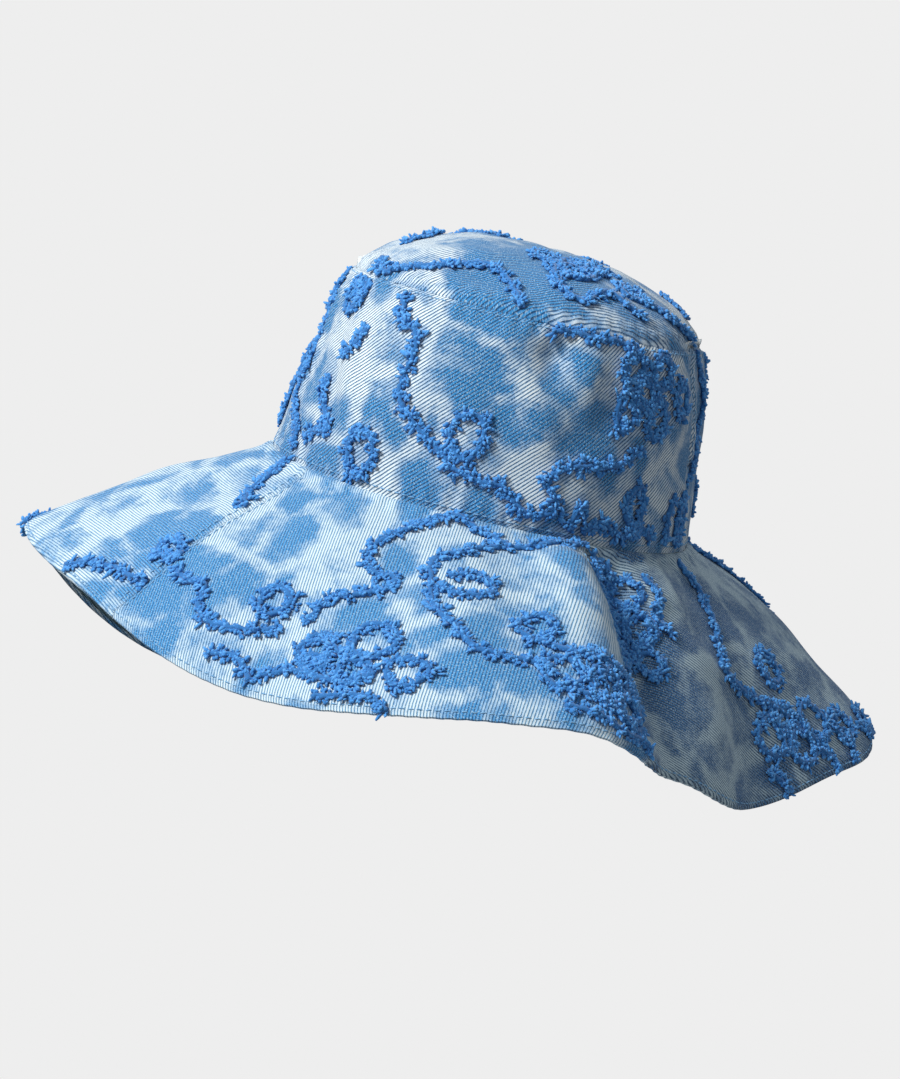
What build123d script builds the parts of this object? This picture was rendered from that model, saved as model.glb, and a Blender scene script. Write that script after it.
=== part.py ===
from build123d import *

import os
from math import cos, degrees, pi, radians, sin, tan

# A wide-brimmed denim bucket hat, cut, lined and sewn from panels.
#
# The origin is the centre of the head opening, where the crown meets the brim. +Z runs up the crown,
# -Y is the wearer's front and +X the wearer's left. Sizes are millimetres and angles degrees; an
# azimuth is counted from the front, -Y, towards +X.

# ---- driving dimensions -------------------------------------------------------------------------

opening_width = 179.0  # outside of the crown at the head opening, side to side
opening_depth = 200.0  # the same, front to back
crown_height = 82.0  # head opening to the tip seam
tip_rise = 24.0  # the tip's dome above its seam
tip_narrowing = 11.5  # how far the crown draws in, per side, from the opening to the tip seam
brim_width = 109.0  # from the crown seam to the hem, along the cloth

denim_thickness = 1.0
lining_thickness = 0.5
interlining_thickness = 0.4
band_thickness = 1.2
band_height = 32.0
thread_width = 0.7
thread_height = 0.35
yarn_radius = 2.1  # a tufted line, pressed flat to its core

layer_gap = 0.2  # between cloths that lie on each other
seam_gap = 0.4  # between panels that meet edge to edge
thread_gap = 0.1  # between a thread and the cloth that it lies on
yarn_gap = 0.9  # between a tufted line and the cloth, so that straight runs clear its curve
stitch_inset = 2.0  # a row of topstitching to the edge or the seam that it follows
hem_overlap = 1.6  # how far the brim's inner edge tucks in under the crown wall

crown_seams = (-72.0, 72.0)  # azimuths of the two side seams of the crown
brim_seams = {"front": (-50.0, 30.0), "right": (30.0, 128.0), "back": (128.0, 218.0),
              "left": (218.0, 310.0)}

# The brim rises and falls in soft waves: azimuth of each crest or lobe, and the cloth's mean slope there.
brim_waves = [(-112, 77), (-84, 31), (-27, 46), (15, 32), (58, 52), (100, 30), (146, 48), (184, 42),
              (248, 77)]
brim_curl = 9.0  # the brim is this much flatter than its mean slope at the crown, and steeper at the hem

# ---- the shapes that everything is placed on ----------------------------------------------------

half_width = opening_width / 2
ovality = opening_depth / opening_width
brim_stack = 2 * denim_thickness + interlining_thickness + 2 * layer_gap
lining_depth = denim_thickness + layer_gap
band_depth = lining_depth + lining_thickness + layer_gap


def brim_slope(azimuth):
    """Mean slope below level at an azimuth: cosine waves between the crests and the lobes."""
    turn = (azimuth - brim_waves[0][0]) % 360 + brim_waves[0][0]
    for (start, slope), (end, next_slope) in zip(brim_waves, brim_waves[1:]):
        if turn <= end:
            rise = (1 - cos(pi * (turn - start) / (end - start))) / 2
            return slope + (next_slope - slope) * rise
    return brim_waves[-1][1]


def brim_profile(azimuth, reach, lift):
    """(out, up) of a point in the brim's radial section, from the crown's oval at the opening.

    reach is the distance along the cloth from its inner edge, lift the height above the underside.
    The slope grows evenly with reach, so the section is a gentle arc.
    """
    curl = radians(brim_curl)
    start = radians(brim_slope(azimuth)) - curl
    turn = 2 * curl * reach / brim_width
    radius = brim_width / (2 * curl)
    out = radius * (sin(start + turn) - sin(start)) + lift * sin(start + turn)
    up = radius * (cos(start + turn) - cos(start)) + lift * cos(start + turn)
    return out - hem_overlap, up - brim_stack - layer_gap


def outward(azimuth):
    return Vector(sin(radians(azimuth)), -cos(radians(azimuth)), 0)


def oval_point(azimuth, radius):
    direction = outward(azimuth)
    return Vector(radius * direction.X, radius * ovality * direction.Y, 0)


def radial_plane(azimuth):
    """The plane of a brim section: X outward from the crown's oval, Y up."""
    return Plane(origin=oval_point(azimuth, half_width), x_dir=outward(azimuth),
                 z_dir=outward(azimuth).cross(Vector(0, 0, 1)))


def crown_radius(height):
    """Half the crown's width: it stays upright, then rolls in towards the tip seam."""
    share = height / crown_height
    return half_width - tip_narrowing * (0.3 * share + 0.7 * share**4)


def dome_point(share, depth):
    """(out, up) on the tip, at a share of the way from its middle to its seam, below its outer face."""
    rise = tip_rise * (1 - share**2.6) ** 0.8
    return (crown_radius(crown_height) - depth) * share, crown_height + rise - depth * (1 - share**4)


# ---- how the pieces are made --------------------------------------------------------------------


def steps(start, end, longest):
    """Evenly spaced values from start to end, no further apart than longest."""
    count = max(1, round(abs(end - start) / longest + 0.5))
    return [start + (end - start) * i / count for i in range(count + 1)]


def band(upper, lower):
    """A closed outline from two rows of points: a smooth curve along each, straight across the ends."""
    with BuildLine() as outline:
        Spline(*upper) if len(upper) > 2 else Line(*upper)
        Line(upper[-1], lower[-1])
        Spline(*reversed(lower)) if len(lower) > 2 else Line(*reversed(lower))
        Line(lower[0], upper[0])
    return outline.line


def brim_section(azimuth, reach_range, lift_range):
    """Cloth or thread on the brim, cut by the radial plane at an azimuth."""
    reaches = steps(*reach_range, 30)
    upper, lower = ([brim_profile(azimuth, reach, lift) for reach in reaches]
                    for lift in reversed(lift_range))
    with BuildSketch(radial_plane(azimuth)) as section:
        with BuildLine():
            add(band(upper, lower))
        make_face()
    return section.sketch


def brim_sections(azimuth_range, reach_range, lift_range):
    return [brim_section(azimuth, reach_range, lift_range) for azimuth in steps(*azimuth_range, 9)]


def wall_section(azimuth, height_range, depth_range):
    """The crown's wall cut by a radial plane, depth counted inward from its outer face."""
    heights = steps(*height_range, 14)
    outer, inner = ([(crown_radius(height) - depth, height) for height in heights] for depth in depth_range)
    across = outward(azimuth)
    with BuildSketch(Plane(origin=(0, 0, 0), x_dir=across, z_dir=across.cross(Vector(0, 0, 1)))) as section:
        with BuildLine():
            add(band(outer, inner))
        make_face()
    return section.sketch


def dome_section(depth, thickness):
    """Half of the tip, or of its lining, at a depth below the tip's outer face."""
    shares = (0, 0.3, 0.6, 0.8, 0.92, 1)
    outer, inner = ([dome_point(share, level) for share in shares] for level in (depth, depth + thickness))
    with BuildSketch(Plane.XZ) as section:
        with BuildLine():
            add(band(outer, inner))
        make_face()
    return section.sketch


def save(piece, name):
    piece.part.label = name
    export_step(piece.part, f"parts/{name}.step")


os.makedirs("parts", exist_ok=True)

# ---- crown --------------------------------------------------------------------------------------

for name, depth, thickness in (("crown_tip", 0, denim_thickness),
                               ("crown_tip_lining", lining_depth, lining_thickness)):
    with BuildPart() as tip:
        revolve(dome_section(depth, thickness), axis=Axis.Z)
        scale(by=(1, ovality, 1))
    save(tip, name)

wall_top = crown_height - layer_gap
seam_half_angle = degrees(seam_gap / 2 / half_width)
wall_panels = {"front": (crown_seams[0], crown_seams[1]), "back": (crown_seams[1], crown_seams[0] + 360)}
for side, (start, end) in wall_panels.items():
    for name, depths in ((f"side_crown_{side}", (0, denim_thickness)),
                         (f"side_lining_{side}", (lining_depth, lining_depth + lining_thickness))):
        with BuildPart() as panel:
            profile = wall_section(start + seam_half_angle, (0, wall_top), depths)
            revolve(profile, axis=Axis.Z, revolution_arc=end - start - 2 * seam_half_angle)
            scale(by=(1, ovality, 1))
        save(panel, name)

with BuildPart() as sweatband:
    revolve(wall_section(180, (0, band_height), (band_depth, band_depth + band_thickness)), axis=Axis.Z)
    scale(by=(1, ovality, 1))
save(sweatband, "sweatband")

# ---- brim ---------------------------------------------------------------------------------------

under_lifts = (0, denim_thickness)
inner_lifts = (under_lifts[1] + layer_gap, under_lifts[1] + layer_gap + interlining_thickness)
upper_lifts = (inner_lifts[1] + layer_gap, brim_stack)
for side, (start, end) in brim_seams.items():
    for name, lifts in ((f"brim_under_{side}", under_lifts), (f"brim_interlining_{side}", inner_lifts),
                        (f"brim_top_{side}", upper_lifts)):
        with BuildPart() as panel:
            loft(brim_sections((start + seam_half_angle, end - seam_half_angle), (0, brim_width), lifts))
        save(panel, name)

# ---- sewing -------------------------------------------------------------------------------------

thread_lifts = (brim_stack + thread_gap, brim_stack + thread_gap + thread_height)
thread_depths = (-thread_gap - thread_height, -thread_gap)


def thread_range(middle):
    return middle - thread_width / 2, middle + thread_width / 2


with BuildPart() as hem_topstitch:
    for start, end in brim_seams.values():
        edges = start + seam_half_angle, end - seam_half_angle
        loft(brim_sections(edges, thread_range(brim_width - stitch_inset), thread_lifts))
save(hem_topstitch, "hem_topstitch")

with BuildPart() as brim_seam_topstitch:
    for seam, _ in brim_seams.values():
        for offset in (-stitch_inset, stitch_inset):
            edges = [seam + degrees(edge / half_width) for edge in thread_range(offset)]
            reach_range = hem_overlap + stitch_inset * 3, brim_width - stitch_inset * 2
            loft([brim_section(azimuth, reach_range, thread_lifts) for azimuth in edges])
save(brim_seam_topstitch, "brim_seam_topstitch")

for name, height in (("tip_topstitch", wall_top - stitch_inset), ("base_topstitch", stitch_inset)):
    with BuildPart() as topstitch:
        revolve(wall_section(0, thread_range(height), thread_depths), axis=Axis.Z)
        scale(by=(1, ovality, 1))
    save(topstitch, name)

side_stitch_heights = 2 * stitch_inset, wall_top - 2 * stitch_inset
with BuildPart() as side_seam_topstitch:
    for seam in crown_seams:
        for offset in (-stitch_inset, stitch_inset):
            start, end = (seam + degrees(edge / half_width) for edge in thread_range(offset))
            revolve(wall_section(start, side_stitch_heights, thread_depths), axis=Axis.Z,
                    revolution_arc=end - start)
    scale(by=(1, ovality, 1))
save(side_seam_topstitch, "side_seam_topstitch")

# A blank woven tab is sewn to the sweatband at the back.
tab_width = 22.0
tab_heights = (6.0, 20.0)
tab_thickness = 0.5
tab_half_angle = degrees(tab_width / 2 / half_width)
tab_depth = band_depth + band_thickness + layer_gap
with BuildPart() as size_tab:
    profile = wall_section(180 - tab_half_angle, tab_heights, (tab_depth, tab_depth + tab_thickness))
    revolve(profile, axis=Axis.Z, revolution_arc=2 * tab_half_angle)
    scale(by=(1, ovality, 1))
save(size_tab, "size_tab")

# ---- embroidery ---------------------------------------------------------------------------------

# The main tufted lines, by the panel that they are worked on. A place is an azimuth and a share of the way
# across the cloth: from the brim's inner edge to its hem, from the head opening to the tip seam, or from
# the middle of the tip to its seam.
yarn_lines = {
    "crown_tip": [[(-58, 0.88), (-38, 0.86), (-20, 0.74), (-6, 0.86)], [(20, 0.36), (40, 0.34), (62, 0.44)],
                  [(48, 0.62), (58, 0.76), (72, 0.88)],
                  [(200, 0.40), (225, 0.62), (255, 0.66), (280, 0.78)]],
    "side_crown_front": [[(-66, 0.76), (-63, 0.56), (-64, 0.37), (-60, 0.17)],
                         [(-37, 0.90), (-29, 0.73), (-27, 0.54), (-21, 0.37), (-10, 0.21), (4, 0.16)],
                         [(17, 0.20), (18, 0.32), (29, 0.38), (38, 0.44)],
                         [(36, 0.88), (45, 0.80), (46, 0.63), (38, 0.56)],
                         [(10, 0.91), (22, 0.93), (32, 0.91)]],
    "side_crown_back": [[(98, 0.17), (105, 0.30), (112, 0.38), (120, 0.33), (128, 0.24), (137, 0.19),
                         (146, 0.20), (152, 0.29), (158, 0.41), (165, 0.53), (172, 0.63)],
                        [(190, 0.17), (199, 0.22), (208, 0.24), (218, 0.20), (228, 0.17), (236, 0.22),
                         (244, 0.29)],
                        [(200, 0.80), (208, 0.75), (216, 0.68), (226, 0.60), (236, 0.56), (246, 0.60),
                         (256, 0.68)]],
    "brim_top_front": [[(-46, 0.70), (-38, 0.77), (-27, 0.73)],
                       [(-21, 0.59), (-12, 0.44), (-17, 0.31), (-13, 0.15), (-3, 0.07)],
                       [(8, 0.13), (-4, 0.24), (-5, 0.40), (0, 0.57), (8, 0.72), (20, 0.75)],
                       [(-24, 0.90), (-12, 0.88), (-3, 0.83)]],
    "brim_top_right": [[(34, 0.07), (35, 0.22), (37, 0.39), (35, 0.53)],
                       [(66, 0.07), (68, 0.22), (62, 0.40), (68, 0.61), (75, 0.75)],
                       [(98, 0.11), (104, 0.26), (106, 0.42)], [(68, 0.84), (80, 0.88), (90, 0.84)]],
    "brim_top_back": [[(150, 0.13), (158, 0.20), (166, 0.24), (174, 0.18), (182, 0.15), (189, 0.21),
                       (194, 0.29), (200, 0.50)],
                      [(164, 0.84), (172, 0.82), (180, 0.81), (188, 0.82), (196, 0.84)],
                      [(134, 0.77), (142, 0.61), (154, 0.51)]],
    "brim_top_left": [[(301, 0.07), (303, 0.18), (306, 0.31)],
                      [(262, 0.11), (262, 0.29), (253, 0.50), (255, 0.66)],
                      [(224, 0.22), (226, 0.40), (232, 0.57)], [(270, 0.88), (276, 0.77), (268, 0.68)]],
}
yarn_lift = yarn_gap + yarn_radius


def yarn_point(panel, azimuth, share):
    """A point on the axis of a tufted line, lifted off the panel that carries it."""
    if panel.startswith("brim"):
        out, up = brim_profile(azimuth, share * brim_width, brim_stack + yarn_lift)
        return oval_point(azimuth, half_width) + outward(azimuth) * out + Vector(0, 0, up)
    if panel == "crown_tip":
        out, up = dome_point(share, -yarn_lift)
        return oval_point(azimuth, out) + Vector(0, 0, up)
    height = share * crown_height
    return oval_point(azimuth, crown_radius(height) + yarn_lift) + Vector(0, 0, height)


for panel, strands in yarn_lines.items():
    with BuildPart() as embroidery:
        for strand in strands:
            points = [yarn_point(panel, *place) for place in strand]
            runs = [(end - start).length for start, end in zip(points, points[1:])]
            turns = [radians((b - a).get_angle(c - b)) for a, b, c in zip(points, points[1:], points[2:])]
            radii = [0.45 * min(pair) / tan(turn / 2) for pair, turn in zip(zip(runs, runs[1:]), turns)]
            with BuildLine() as route:
                FilletPolyline(*points, radius=radii)
            with BuildSketch(Plane(origin=route.line @ 0, z_dir=route.line % 0)):
                Circle(yarn_radius)
            sweep(path=route.line)
    save(embroidery, f"{panel}_embroidery")
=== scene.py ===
import bpy
import numpy as np
from mathutils import Matrix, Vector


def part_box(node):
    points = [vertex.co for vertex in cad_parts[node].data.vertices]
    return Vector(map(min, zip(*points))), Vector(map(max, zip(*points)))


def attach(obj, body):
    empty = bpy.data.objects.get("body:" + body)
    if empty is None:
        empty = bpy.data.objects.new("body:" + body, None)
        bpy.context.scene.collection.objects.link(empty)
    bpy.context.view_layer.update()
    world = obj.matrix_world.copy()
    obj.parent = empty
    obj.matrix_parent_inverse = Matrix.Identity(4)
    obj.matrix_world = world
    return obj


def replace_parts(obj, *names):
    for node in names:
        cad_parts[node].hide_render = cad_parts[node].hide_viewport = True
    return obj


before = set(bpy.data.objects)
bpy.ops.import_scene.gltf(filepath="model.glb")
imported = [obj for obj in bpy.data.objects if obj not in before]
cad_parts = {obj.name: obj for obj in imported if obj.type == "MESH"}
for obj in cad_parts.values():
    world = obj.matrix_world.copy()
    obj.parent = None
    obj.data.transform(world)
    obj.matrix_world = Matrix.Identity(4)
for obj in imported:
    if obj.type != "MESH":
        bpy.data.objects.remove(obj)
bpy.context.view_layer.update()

# A wide-brimmed bucket hat of washed denim with tufted scroll embroidery. Lengths are metres, and an
# azimuth is in degrees from the wearer's front, -Y, towards +X. Each cloth lies on one of three shapes,
# brim, wall or tip, at a place (azimuth, along) and a lift above the shape's outer face.

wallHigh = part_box("side_crown_back")[1]
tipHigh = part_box("crown_tip")[1]

hat = dict(
    halfWidth=wallHigh[0], halfDepth=wallHigh[1],  # half of the oval head opening
    crownHeight=wallHigh[2] + .0002, tipRise=tipHigh[2] - wallHigh[2] - .0002,
    tipNarrowing=.0115, brimWidth=.109, hemOverlap=.0016,
    curl=np.radians(9),  # how much flatter than its mean slope the brim starts, and steeper it ends
    denim=.001, lining=.0005, interlining=.0004, band=.0012, bandHeight=.032, gap=.0002,
)
hat["brimStack"] = 2 * hat["denim"] + hat["interlining"] + 2 * hat["gap"]
brimWaves = np.array([(-112, 77), (-84, 31), (-27, 46), (15, 32), (58, 52), (100, 30), (146, 48),
                      (184, 42), (248, 77)], float)  # azimuth and mean slope of each crest or lobe
brimSeams = dict(front=(-50, 30), right=(30, 128), back=(128, 218), left=(218, 310))
wallSeams = dict(front=(-72, 72), back=(72, 288))
oval = hat["halfDepth"] / hat["halfWidth"]
# Soft bumps round the hat, each (amount, azimuth, width). The first change how far the brim reaches, as a
# share: a corner on the right, and short sides. The second fold it beside the right seam, in metres. The
# third pull the tip seam in on either side, in metres.
brimReach = [(.08, 90, 9), (-.05, -56, 16), (-.055, 39, 9), (-.014, -15, 35)]
brimFolds = [(.0080, 21, 7), (-.0120, 36, 6), (.0035, 52, 7), (-.003, -64, 8)]
tipLeans = [(.006, -94, 26), (.0055, 78, 22)]
# Dents and swellings under the tip seam: (height, azimuth, width, along, spread)
wallDents = [(-.0042, 11, 5, .070, .012), (.0022, 21, 6, .066, .011), (.0016, -4, 7, .073, .009),
             (-.0016, 28, 4, .058, .016)]
wallWrinkles = [(.0014, -46), (-.0012, -53)]  # height and azimuth of two that stand beside each other
# Ripples of soft cloth: (wave length, height, seed, how much of the height up the wall they follow)
softness = dict(brim=[(.052, .0008, 3, 0), (.021, .00036, 4, 0)],
                wall=[(.046, .0010, 5, 1), (.018, .00036, 6, .6)],
                tip=[(.048, .0011, 7, 0), (.019, .00036, 8, 0)])
print("frame loaded, head opening", round(2 * hat["halfWidth"], 4), "by", round(2 * hat["halfDepth"], 4))


def bell(distance, width):  # a soft bump, 1 in its middle and near 0 beyond twice its width
    return np.exp(-(distance / width) ** 2)


def wrap(angle):  # the same angle between -180 and 180
    return (angle + 180) % 360 - 180


def ripples(spots, size, height, seed):
    # the sum of eight plane sine waves through space, of about one length and in random directions
    draw = np.random.default_rng(seed)
    ways = draw.normal(size=(8, 3))
    ways *= (2 * np.pi / size / draw.uniform(.7, 1.5, 8) / np.linalg.norm(ways, axis=1))[:, None]
    return np.sin(spots @ ways.T + draw.uniform(0, 6.3, 8)).sum(-1) * height / 2.8


def roundPlace(azimuth, radius, up):  # a point on a round body, so that ripples meet at the back
    a = np.radians(azimuth)
    return np.stack(np.broadcast_arrays(radius * np.sin(a), -radius * np.cos(a), up), -1)


def bumps(rows, azimuth):  # the sum of the soft bumps at their azimuths
    return sum(amount * bell(wrap(azimuth - centre), width) for amount, centre, width in rows)


def softCloth(shape, azimuth, radius, up=0):  # the sum of the shape's ripples at a place on a round body
    return sum(ripples(roundPlace(azimuth, radius, up * follow), size, height, seed)
               for size, height, seed, follow in softness[shape])


def brimSlope(azimuth):  # cosine waves between the crests and the lobes
    stops, slopes = brimWaves.T
    turn = (azimuth - stops[0]) % 360 + stops[0]
    i = np.clip(np.searchsorted(stops, turn, side="right") - 1, 0, len(stops) - 2)
    share = (turn - stops[i]) / (stops[i + 1] - stops[i])
    return np.radians(slopes[i] + (slopes[i + 1] - slopes[i]) * (1 - np.cos(np.pi * share)) / 2)


def brimBase(azimuth, along):
    # an arc in each radial plane, whose slope grows evenly from the crown to the hem
    reach = along * (1 + bumps(brimReach, azimuth))
    start = brimSlope(azimuth) - hat["curl"]
    radius = hat["brimWidth"] / (2 * hat["curl"])
    end = start + reach / radius
    out = radius * (np.sin(end) - np.sin(start)) - hat["hemOverlap"] + hat["brimStack"] * np.sin(end)
    up = radius * (np.cos(end) - np.cos(start)) - hat["gap"] + hat["brimStack"] * (np.cos(end) - 1)
    a = np.radians(azimuth)
    return np.stack([(hat["halfWidth"] + out) * np.sin(a), -(hat["halfDepth"] + out) * np.cos(a), up], -1)


def brimRelief(azimuth, along):
    # the fold beside the right seam, soft ripples, and puckers along the seams and the hem
    edge = hat["brimWidth"] - along
    turn = np.radians(azimuth)
    start = np.clip(along / .02, 0, 1)
    fold = bumps(brimFolds, azimuth) * start * (.45 + .55 * np.clip(edge / .06, 0, 1))
    soft = softCloth("brim", azimuth, .09 + along * .8) * start * np.clip(.35 + edge / .05, 0, 1)
    seams = 0
    for seam, _ in brimSeams.values():
        side = wrap(azimuth - seam) * np.pi / 180 * (.09 + along * .8)
        seams = seams - .0006 * bell(side, .0011) + .0003 * bell(side, .006) * np.sin(along / .0011)
    hem = .0002 * np.sin(154 * turn + 3 * np.sin(9 * turn)) * bell(edge, .007)
    # Stitched, and its edge turned down
    hem -= .0004 * bell(edge - .0026, .0009) + .0016 * bell(edge, .0011)
    crown = .0004 * np.sin(69 * turn) * bell(along - .004, .004) + .0011 * bell(along - .0018, .0022)
    return (fold + soft + seams + hem) * np.clip(along / .003, 0, 1) + crown


def crownRadius(height):  # upright at first, then rolling in towards the tip seam
    share = height / hat["crownHeight"]
    return hat["halfWidth"] - hat["tipNarrowing"] * (.3 * share + .7 * share ** 4)


def wallBase(azimuth, along):
    # an oval at each height, pulled in more towards the top where the tip seam leans
    a = np.radians(azimuth)
    radius = crownRadius(along) - bumps(tipLeans, azimuth) * np.clip(along / hat["crownHeight"], 0, 1) ** .6
    return np.stack([radius * np.sin(a), -radius * oval * np.cos(a), along + 0 * a], -1)


def wallRelief(azimuth, along):
    # a dent and a swelling under the tip seam, standing wrinkles, and puckers at the seams
    top = hat["crownHeight"] - along
    azimuth = wrap(azimuth)
    turn = np.radians(azimuth)
    dent = sum(height * bell(azimuth - centre, width) * bell(along - middle, spread)
               for height, centre, width, middle, spread in wallDents)
    slant = (along - .04) * 260  # degrees that a wrinkle moves round as it rises
    stand = sum(height * bell(azimuth - centre + slant, 4) for height, centre in wallWrinkles)
    stand = stand * bell(along - .038, .03)
    soft = softCloth("wall", azimuth, .09, along)
    seams = 0
    for seam, _ in wallSeams.values():
        side = wrap(azimuth - seam) * np.pi / 180 * hat["halfWidth"]
        seams = seams - .0009 * bell(side, .0014) + .0008 * bell(side - .0045, .003)
        seams = seams + .0003 * bell(side, .006) * np.sin(along / .0012)
    rims = -.0011 * bell(top, .0016) + .0004 * bell(top - .004, .003) * np.sin(69 * turn)
    rims += -.0006 * bell(along, .0015) + .0004 * bell(along - .004, .004) * np.sin(75 * turn + 1)
    inside = np.clip(along / .02, 0, 1) * np.clip(top / .012, 0, 1)
    return (dent + stand + soft) * inside + seams + rims


def tipBase(azimuth, share):
    # a flat-topped dome over the tip seam; share is the part of the way from its middle to the seam
    a = np.radians(azimuth)
    radius = (crownRadius(hat["crownHeight"]) - bumps(tipLeans, azimuth)) * share
    rise = hat["tipRise"] * (1 - np.minimum(share, 1) ** 2.6) ** .8
    return np.stack([radius * np.sin(a), -radius * oval * np.cos(a), hat["crownHeight"] + rise + 0 * a], -1)


def tipRelief(azimuth, share):
    # ripples that die out at the seam, a row of puckers inside it, and the groove of the seam itself
    a = np.radians(azimuth)
    rim = (1 - share) * .08
    soft = softCloth("tip", azimuth, .08 * share) * np.clip(rim / .012, 0, 1)
    return soft + .0004 * bell(rim - .003, .003) * np.sin(a * 75) - .0009 * bell(rim, .0015)


# each shape's base and relief, and the step that its differences are taken over
shapes = dict(brim=(brimBase, brimRelief, 5e-4), wall=(wallBase, wallRelief, 5e-4),
              tip=(tipBase, tipRelief, .004))


def place(shape, azimuth, along, lift=0.0):
    # the base point, moved along the base's normal by the relief and the lift; gives points and normals
    base, relief, step = shapes[shape]
    azimuth, along = np.broadcast_arrays(np.asarray(azimuth, float), np.asarray(along, float))
    if shape == "tip":  # differences taken across the dome, so that its middle has a normal too
        a = np.radians(azimuth)
        x, y = along * np.sin(a), along * np.cos(a)
        def across(dx, dy):
            return base(np.degrees(np.arctan2(x + dx, y + dy)), np.minimum(np.hypot(x + dx, y + dy), .9995))
        e = np.where(along > .99, .0004, step)
        normal = np.cross(across(e, 0) - across(-e, 0), across(0, -e) - across(0, e))
    else:
        ahead = base(azimuth + .2, along) - base(azimuth - .2, along)
        normal = np.cross(ahead, base(azimuth, along + step) - base(azimuth, along - step))
        if shape == "brim":
            normal = -normal
    normal /= np.linalg.norm(normal, axis=-1, keepdims=True)
    return base(azimuth, along) + normal * (relief(azimuth, along) + lift)[..., None], normal


# Where the cloth was bleached more, or less: (azimuth, millimetres along, size in millimetres, amount).
# On the tip the second is in millimetres from its middle.
faded = dict(
    wall=[(-48, 58, 24, .14), (-22, 68, 16, .10), (-2, 42, 11, -.14), (20, 46, 15, -.15), (14, 24, 7, .14),
          (-4, 8, 14, -.08), (54, 62, 11, .12), (50, 26, 13, .10), (-38, 10, 12, .07), (30, 12, 10, -.08)],
    brim=[(0, 45, 22, .12), (14, 26, 16, .10), (-12, 30, 10, -.10), (6, 88, 16, -.12), (-42, 98, 14, -.12),
          (-22, 94, 13, .08), (36, 50, 26, -.10), (62, 30, 20, -.12), (80, 70, 22, .05),
          (-70, 60, 40, .04), (-30, 40, 22, .03)],
    tip=[(-75, 45, 22, .12), (92, 66, 16, .16), (10, 55, 34, -.20), (-5, 10, 40, -.12)])


def washAt(shape, azimuth, along):  # the sum of soft round patches
    a = np.radians(azimuth)
    total = 0 * azimuth * along
    for centre, across, size, amount in faded[shape]:
        if shape == "tip":
            c = np.radians(centre)
            aside = 78 * along * np.sin(a) - across * np.sin(c)
            distance = np.hypot(aside, 78 * along * np.cos(a) - across * np.cos(c))
        else:
            width = 94 + (750 * along if shape == "brim" else 0)
            distance = np.hypot(np.radians(wrap(azimuth - centre)) * width, along * 1000 - across)
        total = total + amount * bell(distance, size)
    return total


def newPiece(name, verts, faces, finish, uv=None, tuft=None, wash=None):
    # uv is each point's place on the cut cloth; tuft and wash are attributes that materials read
    mesh = bpy.data.meshes.new(name)
    mesh.from_pydata(verts.reshape(-1, 3).tolist(), [], faces)
    if uv is not None:
        corners = np.empty(len(mesh.loops), np.int32)
        mesh.loops.foreach_get("vertex_index", corners)
        mesh.uv_layers.new(name="cloth").data.foreach_set("uv", uv.reshape(-1, 2)[corners].ravel())
    for attribute, values in (("tuft", tuft), ("wash", wash)):
        if values is not None:
            mesh.attributes.new(attribute, "FLOAT", "POINT").data.foreach_set("value", values.ravel())
    mesh.polygons.foreach_set("use_smooth", np.ones(len(mesh.polygons), bool))
    mesh.materials.append(finish)
    piece = bpy.data.objects.new(name, mesh)
    bpy.context.collection.objects.link(piece)
    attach(piece, "root")
    return piece


def gridFaces(rows, columns, first=0, closed=False, flipped=False):
    # the four-sided faces between neighbouring points of a grid, whose rows may close to a ring
    i, j = np.meshgrid(np.arange(rows if closed else rows - 1), np.arange(columns - 1), indexing="ij")
    k = (i + 1) % rows
    here, beside = i * columns + j + first, k * columns + j + first
    quads = np.stack([here, beside, beside + 1, here + 1], -1)
    return (quads[..., ::-1] if flipped else quads).reshape(-1, 4)


def clothPiece(name, shape, azimuths, alongs, lifts, finish, flat, closed=False):
    # two faces of one cloth, at two lifts over a grid of places, joined round their edges.
    # flat gives the place on the cut cloth, in metres, for the weave.
    azimuth, along = np.meshgrid(azimuths, alongs, indexing="ij")
    outer, inner = (place(shape, azimuth, along, lift)[0] for lift in (lifts[1], lifts[0]))
    rows, columns = azimuth.shape
    count = rows * columns
    faces = [gridFaces(rows, columns, 0, closed, shape == "brim"),
             gridFaces(rows, columns, count, closed, shape != "brim")]
    index = np.arange(count).reshape(rows, columns)
    rims = [(index[:, 0], True), (index[:, -1], False)]
    if not closed:
        rims += [(index[0], False), (index[-1], True)]
    for rim, turned in rims:
        start, end = (rim, np.roll(rim, -1)) if closed else (rim[:-1], rim[1:])
        quads = np.stack([start, end, end + count, start + count], -1)
        faces.append(quads[:, ::-1] if turned == (shape == "brim") else quads)
    verts = np.concatenate([outer.reshape(-1, 3), inner.reshape(-1, 3)])
    uv = np.concatenate([flat(azimuth, along).reshape(-1, 2)] * 2)
    wash = np.concatenate([washAt(shape, azimuth, along).ravel()] * 2)
    return newPiece(name, verts, np.concatenate(faces).tolist(), finish, uv, wash=wash)


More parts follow.
